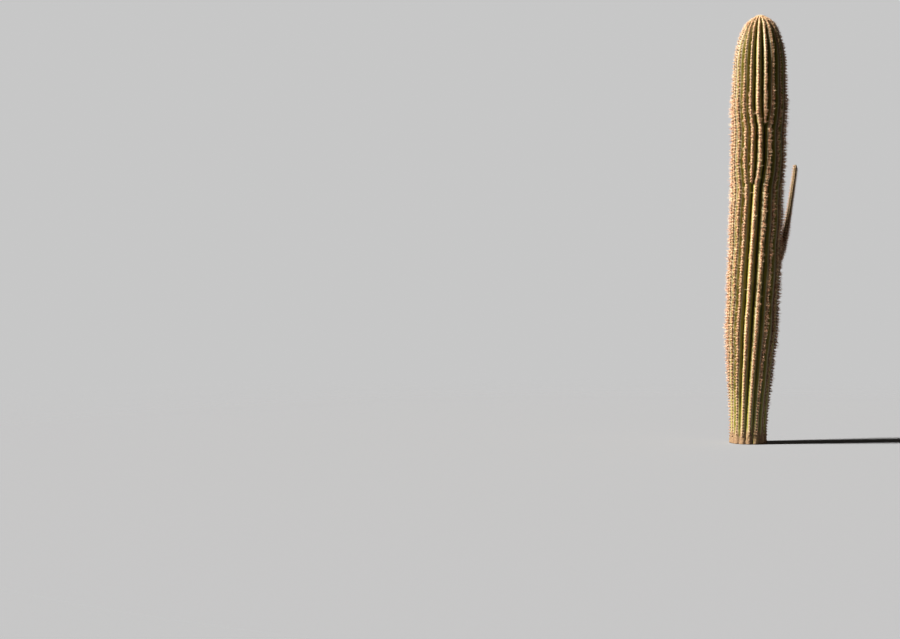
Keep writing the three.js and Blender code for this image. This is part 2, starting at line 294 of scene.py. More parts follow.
def grid_faces(rows, columns):
    """Four-sided faces between rows of points that close round on themselves."""
    across = np.arange(columns)
    after = (across + 1) % columns
    low = np.arange(rows - 1)[:, None] * columns
    faces = np.stack([low + across, low + after, low + columns + after, low + columns + across], axis=2)
    return faces.reshape(-1, 4).tolist()


def end_faces(columns, tip):
    """Fans that close the last ring with the point tip, and the first ring with the point after it."""
    faces = []
    for i in range(columns):
        after = (i + 1) % columns
        faces.append([tip - columns + i, tip - columns + after, tip])
        faces.append([after, i, tip + 1])
    return faces


def mark_points(piece, **marks):
    """Keeps numbers with the points of a skin, for its finish to read. The two end points get 0."""
    for name, values in marks.items():
        layer = piece.data.attributes.new(name, "FLOAT", "POINT")
        layer.data.foreach_set("value", np.append(values, [0.0, 0.0]))


def many_bodies(points, pattern):
    """Points and faces of many small bodies, from the points of each and the faces of one."""
    first = points.shape[1] * np.arange(len(points))[:, None, None]
    return points.reshape(-1, 3), (first + np.array(pattern)).reshape(-1, 3)


# %% [markdown]
# Colours are written as on a painter's chart, in the numbers of a screen, and turned into the
# straight numbers that the shader wants. A finish is built from a handful of nodes, so a second
# helper adds a node, sets its values and joins it to others in one call.

# %% Helpers for finishes
def paint(code):
    """A colour code such as 6f7a2e as the shader's red, green, blue and alpha."""
    screen = [int(code[i : i + 2], 16) / 255 for i in (0, 2, 4)]
    return (*[c / 12.92 if c <= 0.04045 else ((c + 0.055) / 1.055) ** 2.4 for c in screen], 1.0)


def new_finish(name, roughness):
    finish = bpy.data.materials.new(name)
    finish.use_nodes = True
    shader = finish.node_tree.nodes["Principled BSDF"]
    shader.inputs["Roughness"].default_value = roughness
    return finish, shader


def add_node(finish, kind, inputs, **settings):
    """Adds a node. An input is a value, or the output of another node."""
    node = finish.node_tree.nodes.new("ShaderNode" + kind)
    for key, value in settings.items():
        setattr(node, key, value)
    for key, value in inputs.items():
        if isinstance(value, bpy.types.NodeSocket):
            finish.node_tree.links.new(value, node.inputs[key])
        else:
            node.inputs[key].default_value = value
    return node


def join(finish, output, socket):
    finish.node_tree.links.new(output, socket)


def blend_colours(finish, share, first, second):
    """One colour where share is 0, and the other where it is 1."""
    node = add_node(finish, "Mix", {0: share, 6: first, 7: second}, data_type="RGBA")
    return node.outputs[2]


def ramp(finish, value, low, high, start=0.0, end=1.0):
    """A number that goes smoothly from start to end while value goes from low to high."""
    inputs = {"Value": value, "From Min": low, "From Max": high, "To Min": start, "To Max": end}
    return add_node(finish, "MapRange", inputs, interpolation_type="SMOOTHSTEP").outputs[0]


def patches(finish, place, scale, detail=3.0, stretch=(1, 1, 1)):
    """Soft random patches, a given number to the metre."""
    moved = add_node(finish, "Mapping", {"Vector": place, "Scale": stretch}).outputs[0]
    inputs = {"Vector": moved, "Scale": scale, "Detail": detail, "Roughness": 0.6}
    return add_node(finish, "TexNoise", inputs).outputs["Fac"]


def calculate(finish, operation, first, second):
    return add_node(finish, "Math", {0: first, 1: second}, operation=operation).outputs[0]


# %% [markdown]
# The living skin is olive green, greener in the valleys. Deepest in the valleys it is darker still,
# which is painted shade. The flanks are pale with wax, and the narrow strip along the crest, between
# the areoles, is painted brown as the shade that the overlapping spines cast. Low down the skin turns
# into grey-brown cork. One mix from valley to crest would look printed, so it is broken by patches
# of three sizes: slow drifts of a hand's width and more, streaks that run up the flanks, and small
# specks. The same patches feed a fine bump and the roughness, as wax is smooth and worn skin isn't.

# %% The finish of the skin
# Where one colour gives way to the next, from the floor of a valley at 1 to the crest at 0
COLOUR_STEPS = ((0.96, 0.72), (0.66, 0.30), (0.36, 0.20))
DRIFT_COLOUR = paint("958c5a")
AREOLE_COLOUR = paint("8d7350")
SPECK_COLOUR = paint("6b5a34")
CORK_COLOURS = paint("5a4634"), paint("94795c")
CORK_HEIGHTS = (0.34, 0.16)  # no cork above the first, its full share below the second


def skin_finish(name, *colours):
    """A skin with four colours: deep valley, valley, flank and crest."""
    finish, shader = new_finish(name, 0.5)
    place = add_node(finish, "TexCoord", {}).outputs["Object"]
    height = add_node(finish, "SeparateXYZ", {0: place}).outputs["Z"]
    valley = add_node(finish, "Attribute", {}, attribute_name="valley").outputs["Fac"]
    bump_near = add_node(finish, "Attribute", {}, attribute_name="areole").outputs["Fac"]
    drift = patches(finish, place, 3.0)
    streaks = patches(finish, place, 46.0, 4.0, (1, 1, 0.16))
    specks = patches(finish, place, 210.0, 2.0)

    moved = calculate(finish, "MULTIPLY", calculate(finish, "SUBTRACT", streaks, 0.5), 0.35)
    uneven = calculate(finish, "ADD", valley, moved)
    colour = colours[0]
    for step, next_colour in zip(COLOUR_STEPS, colours[1:]):
        colour = blend_colours(finish, ramp(finish, uneven, *step), colour, next_colour)
    yellow = ramp(finish, drift, 0.46, 0.72, 0.0, 0.28)
    colour = blend_colours(finish, yellow, colour, DRIFT_COLOUR)
    colour = blend_colours(finish, ramp(finish, bump_near, 0.35, 0.95, 0.0, 0.6), colour, AREOLE_COLOUR)
    colour = blend_colours(finish, ramp(finish, specks, 0.62, 0.74, 0.0, 0.35), colour, SPECK_COLOUR)

    corky = ramp(finish, height, 0.26, 0.0, 0.0, 0.75)
    ragged = calculate(finish, "MULTIPLY", calculate(finish, "SUBTRACT", streaks, 0.42), 2.4)
    cork_share = ramp(finish, calculate(finish, "ADD", corky, ragged), 0.45, 0.75)
    cork_share = calculate(finish, "MULTIPLY", cork_share, ramp(finish, height, *CORK_HEIGHTS))
    cork = blend_colours(finish, ramp(finish, specks, 0.35, 0.65), *CORK_COLOURS)
    colour = blend_colours(finish, cork_share, colour, cork)
    join(finish, colour, shader.inputs["Base Color"])

    rough = ramp(finish, specks, 0.3, 0.7, 0.42, 0.6)
    rough = add_node(finish, "Mix", {0: cork_share, 2: rough, 3: 0.9}).outputs[0]
    join(finish, rough, shader.inputs["Roughness"])
    fine = calculate(finish, "ADD", calculate(finish, "MULTIPLY", streaks, 0.6), specks)
    bump = add_node(finish, "Bump", {"Height": fine, "Strength": 0.35, "Distance": 0.0025})
    join(finish, bump.outputs[0], shader.inputs["Normal"])
    return finish


# The dark deep-valley colour is painted shade in the grooves, and the brown crest colour is painted shade
# of the spines.
waxy_skin = skin_finish("waxy_skin", paint("4a4912"), paint("7e7829"), paint("a1967d"), paint("7b6041"))
print("finish:", waxy_skin.name)

# %% [markdown]
# Now the skin itself. Its rings are 8 mm apart, and every rib has 10 points across, closer together
# on the crest, where the areoles sit. That stays below 200,000 triangles and still holds each
# swelling. Two numbers go with every point for the finish to read: how deep in a valley it lies, and
# how near an areole.

# %% The skin of the column
POINTS_ACROSS = 10
CLOSER_ON_CREST = 1.2
BODY_RINGS = 430
DOME_RINGS = 58
LAST_RING = 0.992  # as a share of the way up the dome
CORK_RELIEF_FADE = (0.05, 0.32)
PLATE = 0.0045
CRACK = 0.006
CRACK_WIDTH = 0.16  # as a level of the noise that draws the cracks

steps_across = 2 * np.arange(POINTS_ACROSS) / POINTS_ACROSS - 1
SHARES = 0.5 + 0.5 * np.sign(steps_across) * np.abs(steps_across) ** CLOSER_ON_CREST
ring_heights = np.concatenate([
    np.linspace(0, SHOULDER, BODY_RINGS, endpoint=False),
    SHOULDER + DOME * np.sin(np.linspace(0, LAST_RING, DOME_RINGS) * math.pi / 2),
])


def cork_relief(point):
    """Plates and cracks of the old foot, 0 above it."""
    fade = 1 - float(ease(point.z, *CORK_RELIEF_FADE))
    if fade <= 0:
        return 0.0
    plates = noise.noise(Vector((point.x * 38, point.y * 38, point.z * 16)))
    cracks = abs(noise.noise(Vector((point.x * 75, point.y * 75, point.z * 22 + 9))))
    return fade * (PLATE * plates - CRACK * max(0.0, CRACK_WIDTH - cracks) / CRACK_WIDTH)


def column_skin():
    across = RIBS * POINTS_ACROSS
    z = np.repeat(ring_heights, across)
    rib = np.tile(np.repeat(np.arange(RIBS), POINTS_ACROSS), len(ring_heights))
    share = np.tile(SHARES, RIBS * len(ring_heights))
    points, valley, near = skin_points(z, rib, share)
    out = points - np.stack([axis_x(z), 0 * z, z], axis=1)
    out /= np.linalg.norm(out, axis=1, keepdims=True)
    low = z < CORK_RELIEF_FADE[1]
    points[low] += out[low] * np.array([[cork_relief(Vector(p))] for p in points[low]])
    points[:, 2] = np.maximum(points[:, 2], 0)
    faces = grid_faces(len(ring_heights), across) + end_faces(across, len(points))
    points = np.concatenate([points, [[axis_x(HEIGHT), 0, HEIGHT], [0, 0, 0]]])
    skin = make_piece("column_skin", points, faces, waxy_skin, "skin", ["trunk"])
    mark_points(skin, valley=valley, areole=near)


column_skin()

# %% [markdown]
# The arm is a slender young branch behind the right flank. It leaves the crest of one rib, bends
# round and rises beside the column. A bezier curve with a bevel would do for a smooth one, but it
# has seven small ribs of its own. So its path is drawn as a smooth line through a few named points,
# and rings with ribs are set square to it.

# %% The path of the arm
ARM_RIB = 17  # the rib that it grows from, counted from 0
ARM_PATH = [  # out from the column's axis, sideways towards the back, height
    (0.190, 0.000, 1.690),
    (0.254, 0.000, 1.746),
    (0.320, 0.001, 1.840),
    (0.385, 0.024, 1.930),
    (0.451, 0.057, 2.046),
    (0.536, 0.080, 2.305),
    (0.622, 0.094, 2.674),
    (0.653, 0.099, 2.834),
]
ARM_RIBS = 7
ARM_RADIUS = (0.026, 0.0165)  # at the root and below the tip
ARM_TIP = 0.034


def smooth_path(knots, steps=60):
    """A centripetal Catmull-Rom line through the knots."""
    knots = np.array(knots, float)
    ends = [2 * knots[0] - knots[1], *knots, 2 * knots[-1] - knots[-2]]
    line = []
    for a, b, c, d in zip(ends, ends[1:], ends[2:], ends[3:]):
        before, here, after = (math.sqrt(np.linalg.norm(q - p)) for p, q in ((a, b), (b, c), (c, d)))
        leave = here * ((b - a) / before - (c - a) / (before + here) + (c - b) / here)
        arrive = here * ((c - b) / here - (d - b) / (here + after) + (d - c) / after)
        t = np.linspace(0, 1, steps, endpoint=False)[:, None]
        line.append(b + leave * t + (3 * (c - b) - 2 * leave - arrive) * t**2
                    + (2 * (b - c) + leave + arrive) * t**3)
    return np.concatenate([*line, knots[-1:]])


ROOT_HEIGHT = ARM_PATH[0][2]
arm_foot = np.array([float(axis_x(ROOT_HEIGHT)), 0, 0])
root_point = skin_points(np.array([ROOT_HEIGHT]), np.array([ARM_RIB]), np.array([0.5]))[0][0]
arm_bearing = math.atan2(root_point[1], root_point[0] - arm_foot[0])
ARM_AWAY = np.array([math.cos(arm_bearing), math.sin(arm_bearing), 0])
ARM_SIDE = np.array([-math.sin(arm_bearing), math.cos(arm_bearing), 0])
arm_line = smooth_path(np.array(ARM_PATH) @ [ARM_AWAY, ARM_SIDE, [0, 0, 1]] + arm_foot)
arm_arcs = np.append(0, np.cumsum(np.linalg.norm(np.diff(arm_line, axis=0), axis=1)))
ARM_LENGTH = arm_arcs[-1]
print("the arm is", round(ARM_LENGTH, 3), "m long, at", round(math.degrees(arm_bearing)), "degrees")

# %% [markdown]
# The arm's skin is made the way the column's is, on a smaller scale: each of its ribs has 8 points
# across. From rib to rib the areoles stand a little lower, so that they don't line up in rings.

# %% The skin of the arm
ARM_GROOVE = 0.009
ARM_PITCH = 0.029
ARM_STAGGER = 0.37  # how much lower those of the next rib are, as a share of the distance
ARM_SWELLING = 0.0022
ARM_SWELLING_LENGTH = 0.007
ARM_UNEVEN = 0.0006
ARM_POINTS_ACROSS = 8
ARM_STEM_RINGS = 210
ARM_TIP_RINGS = 12


def arm_frame(arc):
    """Centre of the arm at a length along it, its direction, and the ways from it out and aside."""
    def on_line(lengths):
        return np.stack([np.interp(lengths, arm_arcs, arm_line[:, k]) for k in range(3)], axis=-1)

    along = on_line(arc + 0.002) - on_line(arc - 0.002)
    along /= np.linalg.norm(along, axis=-1, keepdims=True)
    side = ARM_SIDE - (along @ ARM_SIDE)[..., None] * along
    side /= np.linalg.norm(side, axis=-1, keepdims=True)
    return on_line(arc), along, np.cross(side, along), side


def arm_points(arc, turn):
    """Points of the arm's skin. turn counts its ribs, with a crest at every half."""
    centre, _, out, side = arm_frame(arc)
    up = np.clip(1 - (ARM_LENGTH - arc) / ARM_TIP, 0, 1)
    crest = mix(*ARM_RADIUS, arc / ARM_LENGTH) * np.sqrt(1 - up * up)
    across = np.abs(2 * (turn % 1) - 1)
    away = np.abs((arc / ARM_PITCH + ARM_STAGGER * np.floor(turn) + 0.5) % 1 - 0.5) * ARM_PITCH
    bump = np.exp(-((away / ARM_SWELLING_LENGTH) ** 2)) * (1 - across) ** 2
    room = crest / ARM_RADIUS[0]
    radius = crest - ARM_GROOVE * room * across**1.5 + ARM_SWELLING * bump * room
    radius = radius + ARM_UNEVEN * np.sin(arc * 61 + turn) * room
    angle = 2 * math.pi * turn / ARM_RIBS
    radial = np.cos(angle)[..., None] * out + np.sin(angle)[..., None] * side
    return centre + radius[..., None] * radial, across, bump, radial


def arm_skin():
    arcs = np.concatenate([
        np.linspace(0, ARM_LENGTH - ARM_TIP, ARM_STEM_RINGS, endpoint=False),
        ARM_LENGTH - ARM_TIP * (1 - np.sin(np.linspace(0, 0.96, ARM_TIP_RINGS) * math.pi / 2)),
    ])
    columns = ARM_RIBS * ARM_POINTS_ACROSS
    turns = np.arange(columns) / ARM_POINTS_ACROSS
    arc, turn = (m.ravel() for m in np.meshgrid(arcs, turns, indexing="ij"))
    points, across, bump, _ = arm_points(arc, turn)
    faces = grid_faces(len(arcs), columns) + end_faces(columns, len(points))
    points = np.concatenate([points, arm_frame(np.array([ARM_LENGTH, 0.0]))[0]])
    skin = make_piece("arm_skin", points, faces, young_skin, "skin", ["arm_elbow", "arm_upright"])
    mark_points(skin, valley=across, areole=bump)


# The arm's dark deep-valley and valley colours are painted shade in its grooves.
young_skin = skin_finish("young_skin", paint("33300f"), paint("4e4720"), paint("7b6c48"), paint("98825e"))
arm_skin()

# %% [markdown]
# Each areole needs a place on the skin and three directions: out of the skin, along the rib, and
# sideways. They could be read back from the mesh, but the rule that made the mesh gives them more
# exactly, by taking a second point of the crest a little higher up.

# %% The place of every areole on the column
SPINES_FROM = 0.07
NEW_RIB_BARE = 0.035  # length of a new rib's tip that carries no spines
ROW_END_RADIUS = 0.050
AREOLE_JITTER = 0.12  # as a share of the distance between two areoles
ARM_ROOT = (1.63, 1.80)  # heights between which the arm takes the place of the areoles
CLUSTER_TILT = 0.24  # how unevenly the clusters point, as a slope
STEP_UP = 0.004
STEP_UP_ON_DOME = 0.0004


def areoles_on(rib):
    """Heights of the areoles on one rib, from the lowest that still carries spines."""
    counts = AREOLE_COUNTS[:, rib]
    first = max(SPINES_FROM, RIB_STARTS[rib] + NEW_RIB_BARE)
    numbers = np.arange(0, counts[-1]) + AREOLE_PHASE[rib]
    numbers += random.uniform(-AREOLE_JITTER, AREOLE_JITTER, len(numbers))
    z = np.interp(numbers, counts, crest_heights)
    z = z[(z > first) & (crest_radius(z) > ROW_END_RADIUS)]
    if rib == ARM_RIB:
        z = z[(z < ARM_ROOT[0]) | (z > ARM_ROOT[1])]
    return z


def place_areoles():
    z = [areoles_on(rib) for rib in range(RIBS)]
    rib = np.repeat(np.arange(RIBS), [len(heights) for heights in z])
    z = np.concatenate(z)
    middle = np.full(len(z), 0.5)
    point = skin_points(z, rib, middle)[0]
    step = np.where(z > SHOULDER, STEP_UP_ON_DOME, STEP_UP)
    higher = np.minimum(z + step, HEIGHT - 1e-4)
    starts, widths, _ = rib_layout(np.concatenate([z, higher]))
    row = np.arange(len(z))

    def crest(heights, rows):
        angle = starts[rows, rib] + widths[rows, rib] / 2
        return around_axis(heights, crest_radius(heights), angle)

    along = crest(higher, row + len(z)) - crest(z, row)
    along /= np.linalg.norm(along, axis=1, keepdims=True)
    centre = np.stack([axis_x(z), 0 * z, np.minimum(z, SHOULDER)], axis=1)
    out = point - centre
    out -= (out * along).sum(axis=1, keepdims=True) * along
    out /= np.linalg.norm(out, axis=1, keepdims=True)
    side = np.cross(along, out)
    tilt = random.normal(0, CLUSTER_TILT, (2, len(z), 1))
    out = out + tilt[0] * side + tilt[1] * along
    return {"rib": rib, "point": point, "out": out, "along": along, "side": side}


areoles = place_areoles()
print(len(areoles["rib"]), "areoles on the column")

# %% [markdown]
# A felt pad fills each areole: short brown hair, packed tight, about one and a half centimetres
# long. Combed hair would cost millions of faces and could not be seen, so each pad is a low oval
# cushion of 18 triangles, a little uneven in size. The young ones near the tip are lighter, so they
# are a piece of their own with their own plain colour.

# %% Felt pads
PAD_SIDES = 6
PAD_RINGS = ((1.0, -0.5), (0.68, 0.75))  # share of the radius, share of the height
PAD_SIZE = np.array([[0.0085], [0.0068], [0.0042]])  # half the length, half the width, the height
PAD_SPREAD = (0.85, 1.15)
YOUNG_FROM = 3.55


def felt_finish(name, colour):
    finish, shader = new_finish(name, 0.95)
    shader.inputs["Base Color"].default_value = colour
    shader.inputs["Sheen Weight"].default_value = 0.4
    shader.inputs["Sheen Roughness"].default_value = 0.6
    place = add_node(finish, "TexCoord", {}).outputs["Object"]
    tufts = patches(finish, place, 900.0, 2.0)
    bump = add_node(finish, "Bump", {"Height": tufts, "Strength": 0.8, "Distance": 0.0015})
    join(finish, bump.outputs[0], shader.inputs["Normal"])
    return finish


def cushions(base, lengths, widths, heights):
    """Points and faces of low oval cushions at the given areoles."""
    turn = 2 * math.pi * np.arange(PAD_SIDES) / PAD_SIDES
    rows = []
    for share, rise in PAD_RINGS:
        aside = base["side"][:, None] * (widths[:, None] * share * np.cos(turn))[..., None]
        along = base["along"][:, None] * (lengths[:, None] * share * np.sin(turn))[..., None]
        up = base["out"][:, None] * (heights * rise)[:, None, None]
        rows.append(base["point"][:, None] + aside + along + up)
    tips = base["point"] + base["out"] * heights[:, None]
    points = np.concatenate([*rows, tips[:, None]], axis=1)
    pattern = []
    for i in range(PAD_SIDES):
        after = (i + 1) % PAD_SIDES
        for low in range(0, PAD_SIDES * (len(PAD_RINGS) - 1), PAD_SIDES):
            pattern.append([low + i, low + after, low + PAD_SIDES + after])
            pattern.append([low + i, low + PAD_SIDES + after, low + PAD_SIDES + i])
        last = PAD_SIDES * (len(PAD_RINGS) - 1)
        pattern.append([last + i, last + after, PAD_SIDES * len(PAD_RINGS)])
    return many_bodies(points, pattern)


def chosen(base, mask):
    return {key: values[mask] for key, values in base.items()}


def felt_pads(name, base, finish, size):
    uneven = random.uniform(*PAD_SPREAD, (3, len(base["rib"]))) * size
    make_piece(name, *cushions(base, *(PAD_SIZE * uneven)), finish, "wool")


areole_height = areoles["point"][:, 2]
young = areole_height > YOUNG_FROM
crowding = areole_pitch(areole_height) / AREOLE_PITCH
felt_pads("felt_pads", chosen(areoles, ~young), felt_finish("grey_felt", paint("86664a")), 1.0)
felt_pads("felt_pads_young", chosen(areoles, young), felt_finish("young_felt", paint("a08262")),
          crowding[young] ** 0.7)

# %% [markdown]
# Each areole carries its spines in three ranks: a spreading rosette close to the skin, a middle rank
# that stands up between them, and a few long stout ones that point outwards. A particle system
# would scatter them, but particles don't stay in an exported model. So every spine is a real tapered
# rod with three sides, and they are joined by the thousand. Those of the first two ranks are
# straight, at three triangles each; the stout ones have a joint half-way and curve a little. Real
# clusters have about half as many spines, two thirds as thick. At this distance so few thin ones
# would break up into noise, and the full, light clusters of the photo would be lost.

# %% One spine, made for thousands of places at once
STRAIGHT = ((0.0, 1.0),)  # rings of a spine: place along it, and thickness there
CURVED = ((0.0, 1.0), (0.6, 0.78))


def spine_rods(roots, ways, lengths, radii, bends, rings):
    """Points and faces of three-sided spines. bends says how far each tip is drawn aside."""
    helper = np.where(np.abs(ways[:, 2:]) < 0.9, [[0.0, 0.0, 1.0]], [[1.0, 0.0, 0.0]])
    first = np.cross(ways, helper)
    first /= np.linalg.norm(first, axis=1, keepdims=True)
    second = np.cross(ways, first)
    turn = 2 * math.pi * np.arange(3) / 3
    round_it = first[:, None] * np.cos(turn)[:, None] + second[:, None] * np.sin(turn)[:, None]
    rows = []
    for place, thickness in rings:
        centre = roots + ways * (lengths * place)[:, None] + bends * place**2
        rows.append(centre[:, None] + thickness * radii[:, None, None] * round_it)
    tip = roots + ways * lengths[:, None] + bends
    points = np.concatenate([*rows, tip[:, None]], axis=1)
    pattern = []
    for low in range(0, 3 * (len(rings) - 1), 3):
        for a, b in ((0, 1), (1, 2), (2, 0)):
            pattern += [[low + a, low + b, low + b + 3], [low + a, low + b + 3, low + a + 3]]
    last = 3 * (len(rings) - 1)
    pattern += [[last, last + 1, last + 3], [last + 1, last + 2, last + 3], [last + 2, last, last + 3]]
    return many_bodies(points, pattern)


# %% [markdown]
# The ranks are described by numbers: how many spines, how far each leans from straight out, how
# long and how thick. Spines bleach with age, so they come in four plain colours. Each spine draws
# one by chance, and all the spines of a cluster have a share of their luck in common. There is more
# grey low down and more straw near the tip. The colours are shared out among pieces, since a painted
# pattern could not hold on anything so small.

# %% The ranks and the colours of the spines
RANKS = {
    # count, lean from straight out in degrees, length, radius, rings
    "rosette": (34, (50, 84), (0.017, 0.030), (0.0013, 0.0017), STRAIGHT),
    "middle": (15, (22, 62), (0.015, 0.034), (0.0011, 0.0015), STRAIGHT),
    "stout": (6, (4, 46), (0.026, 0.052), (0.0013, 0.0019), CURVED),
}
SHORTER_ALONG = 0.36  # spines are up to this much shorter where they point along the rib
SPINE_ROOT = 0.003  # how far from the middle of its areole a spine stands
SPINE_LIFT = 0.0006
SPINE_BEND = 0.05
CLUSTER_LUCK = 0.14  # the part of the luck with colours that a whole cluster has in common
SPINE_COLOURS = {
    # plain colour, share of the spines, and how the share changes at the foot and near the tip
    "straw": (paint("e2cba6"), 0.34, -0.5, 0.8),
    "pink_tan": (paint("cd9b7d"), 0.42, -0.3, 0.0),
    "brown": (paint("7c4c35"), 0.17, 0.5, -0.6),
    "grey": (paint("ab9782"), 0.07, 3.0, -0.8),
}
AT_THE_FOOT = (0.3, 1.9)
NEAR_THE_TIP = (3.3, 4.1)


def spine_finish(name, colour):
    finish, shader = new_finish(name, 0.42)
    shader.inputs["Base Color"].default_value = colour
    shader.inputs["Specular IOR Level"].default_value = 0.4
    place = add_node(finish, "TexCoord", {}).outputs["Object"]
    grain = patches(finish, place, 700.0, 2.0)
    join(finish, ramp(finish, grain, 0.3, 0.7, 0.34, 0.55), shader.inputs["Roughness"])
    bump = add_node(finish, "Bump", {"Height": grain, "Strength": 0.3, "Distance": 0.0004})
    join(finish, bump.outputs[0], shader.inputs["Normal"])
    return finish


spine_finishes = {key: spine_finish(key + "_spines", row[0]) for key, row in SPINE_COLOURS.items()}


def rank_of_spines(base, size, count, leans, lengths, radii, rings):
    """Spines of one rank for every areole of base."""
    total = len(base["rib"])
    turn = 2 * math.pi * (np.arange(count) + random.uniform(-0.3, 0.3, (total, count))) / count
    turn += random.uniform(0, 2 * math.pi, (total, 1))
    lean = np.radians(random.uniform(*leans, (total, count)))
    length = random.uniform(*lengths, (total, count)) * size[:, None]
    length *= 1 - SHORTER_ALONG * np.sin(lean) * np.abs(np.sin(turn))
    radius = random.uniform(*radii, (total, count)) * np.sqrt(size[:, None])
    aside = (np.sin(lean) * np.cos(turn))[..., None] * base["side"][:, None]
    along = (np.sin(lean) * np.sin(turn))[..., None] * base["along"][:, None]
    way = aside + along + np.cos(lean)[..., None] * base["out"][:, None]
    root = base["point"][:, None] + SPINE_ROOT * size[:, None, None] * (aside + along)
    root = root + SPINE_LIFT * base["out"][:, None]
    bend = random.normal(0, SPINE_BEND, (total, count, 3)) * length[..., None]
    bend -= SPINE_BEND * length[..., None] * base["out"][:, None]
    keep = random.uniform(0, 1, (total, count)) < base["full"][:, None]
    draw = random.uniform(0, 1, (total, count))
    draw += random.uniform(-CLUSTER_LUCK, CLUSTER_LUCK, (total, 1))
    owner = np.repeat(np.arange(total)[:, None], count, axis=1)
    spines = {"root": root, "way": way, "length": length, "radius": radius, "bend": bend,
              "draw": draw, "owner": owner}
    return {**{key: part[keep] for key, part in spines.items()}, "rings": rings}


def deal_colours(draw, heights):
    """The number of a colour for each spine, by its draw and its height."""
    old = 1 - ease(heights, *AT_THE_FOOT)
    fresh = ease(heights, *NEAR_THE_TIP)
    weights = [share * (1 + low * old + high * fresh) for _, share, low, high in SPINE_COLOURS.values()]
    weights = np.stack(weights, axis=1)
    ends = np.cumsum(weights / weights.sum(axis=1, keepdims=True), axis=1)
    return (draw[:, None] > ends[:, :-1]).sum(axis=1)


def spine_mesh(ranks, chosen_spines):
    """Points and faces of the spines that chosen_spines picks from each rank."""
    points, faces, used = [], [], 0
    for rank, mine in zip(ranks, chosen_spines):
        numbers = [rank[key][mine] for key in ("root", "way", "length", "radius", "bend")]
        more_points, more_faces = spine_rods(*numbers, rank["rings"])
        points.append(more_points)
        faces.append(more_faces + used)
        used += len(more_points)
    return np.concatenate(points), np.concatenate(faces)


# %% [markdown]
# At the foot most spines have worn off and the rest are short. Towards the dome they get shorter and
# finer with the distance between the areoles, and only those round the growing tip are long again.

# %% The spines of the column
LEFT_AT_FOOT = 0.25
WORN_FOOT = (0.1, 0.8)
FOOT_SPINE_SIZE = 0.62
SHORT_FOOT = (0.1, 0.9)
DOME_SPINE_SIZE = 0.58
DOME_FADE = (SHOULDER - 0.35, SHOULDER + 0.2)
TIP_SPINE_SIZE = 2.15  # times the size on the dome
TIP_FADE = (HEIGHT - 0.28, HEIGHT - 0.05)
SPINE_SPREAD = (0.80, 1.18)

areoles["full"] = mix(LEFT_AT_FOOT, 1.0, ease(areole_height, *WORN_FOOT))
spine_size = mix(FOOT_SPINE_SIZE, 1.0, ease(areole_height, *SHORT_FOOT)) * crowding**0.4
spine_size *= np.minimum(1, crest_radius(areole_height) / BODY_RADIUS) ** 0.8
spine_size *= mix(1.0, DOME_SPINE_SIZE, ease(areole_height, *DOME_FADE))
spine_size *= mix(1.0, TIP_SPINE_SIZE, ease(areole_height, *TIP_FADE))
spine_size *= random.uniform(*SPINE_SPREAD, len(spine_size))
column_ranks = [rank_of_spines(areoles, spine_size, *numbers) for numbers in RANKS.values()]
print(sum(len(rank["root"]) for rank in column_ranks), "spines on the column")

# %% [markdown]
# About 140,000 spines in one mesh would be past what a piece may hold. They are split by colour and
# by the quarter of the column they grow on. The first piece of each quarter stands for that
# quarter's plain rows of spines.

# %% Share out the spines among pieces
QUARTERS = ("back_left", "front_left", "front_right", "back_right")
colours_of = [deal_colours(rank["draw"], rank["root"][:, 2]) for rank in column_ranks]
quarters_of = [areoles["rib"][rank["owner"]] * len(QUARTERS) // RIBS for rank in column_ranks]
row_names = sorted(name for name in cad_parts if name.startswith("spine_row_"))

for place, quarter in enumerate(QUARTERS):
    rows = [name for name in row_names if (int(name[10:12]) - 1) * len(QUARTERS) // RIBS == place]
    for number, colour in enumerate(SPINE_COLOURS):
        mine = [(drawn == number) & (there == place) for drawn, there in zip(colours_of, quarters_of)]
        make_piece(f"spines_{colour}_{quarter}", *spine_mesh(column_ranks, mine), spine_finishes[colour],
                   "spines", rows if number == 0 else ())

# %% [markdown]
# The growing tip is a shallow dimple full of pale wool, ringed and covered by young spines that
# stand straight up. Here all the ribs run together. A fur simulation is too heavy for a patch of
# 11 cm, so the wool is a lumpy cushion laid over the top, and young areoles are set on it in a
# spiral like that of a sunflower, the way real ones form.

# %% Wool and young spines on the growing tip
WOOL_RADIUS = 0.056
WOOL_HEIGHT = 0.009
WOOL_RINGS = 12
WOOL_COLUMNS = 64
WOOL_LUMP = 0.0022
WOOL_TUCK = 0.004  # how deep the rim of the wool is tucked into the skin
YOUNG_AREOLES = 130
YOUNG_SLOPE = 0.9  # how far the outermost ones lean out
GOLDEN_TURN = math.pi * (3 - math.sqrt(5))
TIP_RANKS = (
    # count, lean, length, radius and rings, as in RANKS
    (7, (20, 50), (0.009, 0.016), (0.0006, 0.0009), CURVED),
    (3, (2, 18), (0.011, 0.018), (0.0007, 0.0010), CURVED),
)
STRAW_AT_TIP = 0.62  # share of straw-coloured spines


def dome_height(reach):
    """Height of the rounded top at a distance from its middle."""
    body = float(crest_radius(SHOULDER - 1e-6))
    up = np.sqrt(1 - (np.asarray(reach) / body) ** (1 / DOME_ROUNDING))
    return SHOULDER + DOME * up


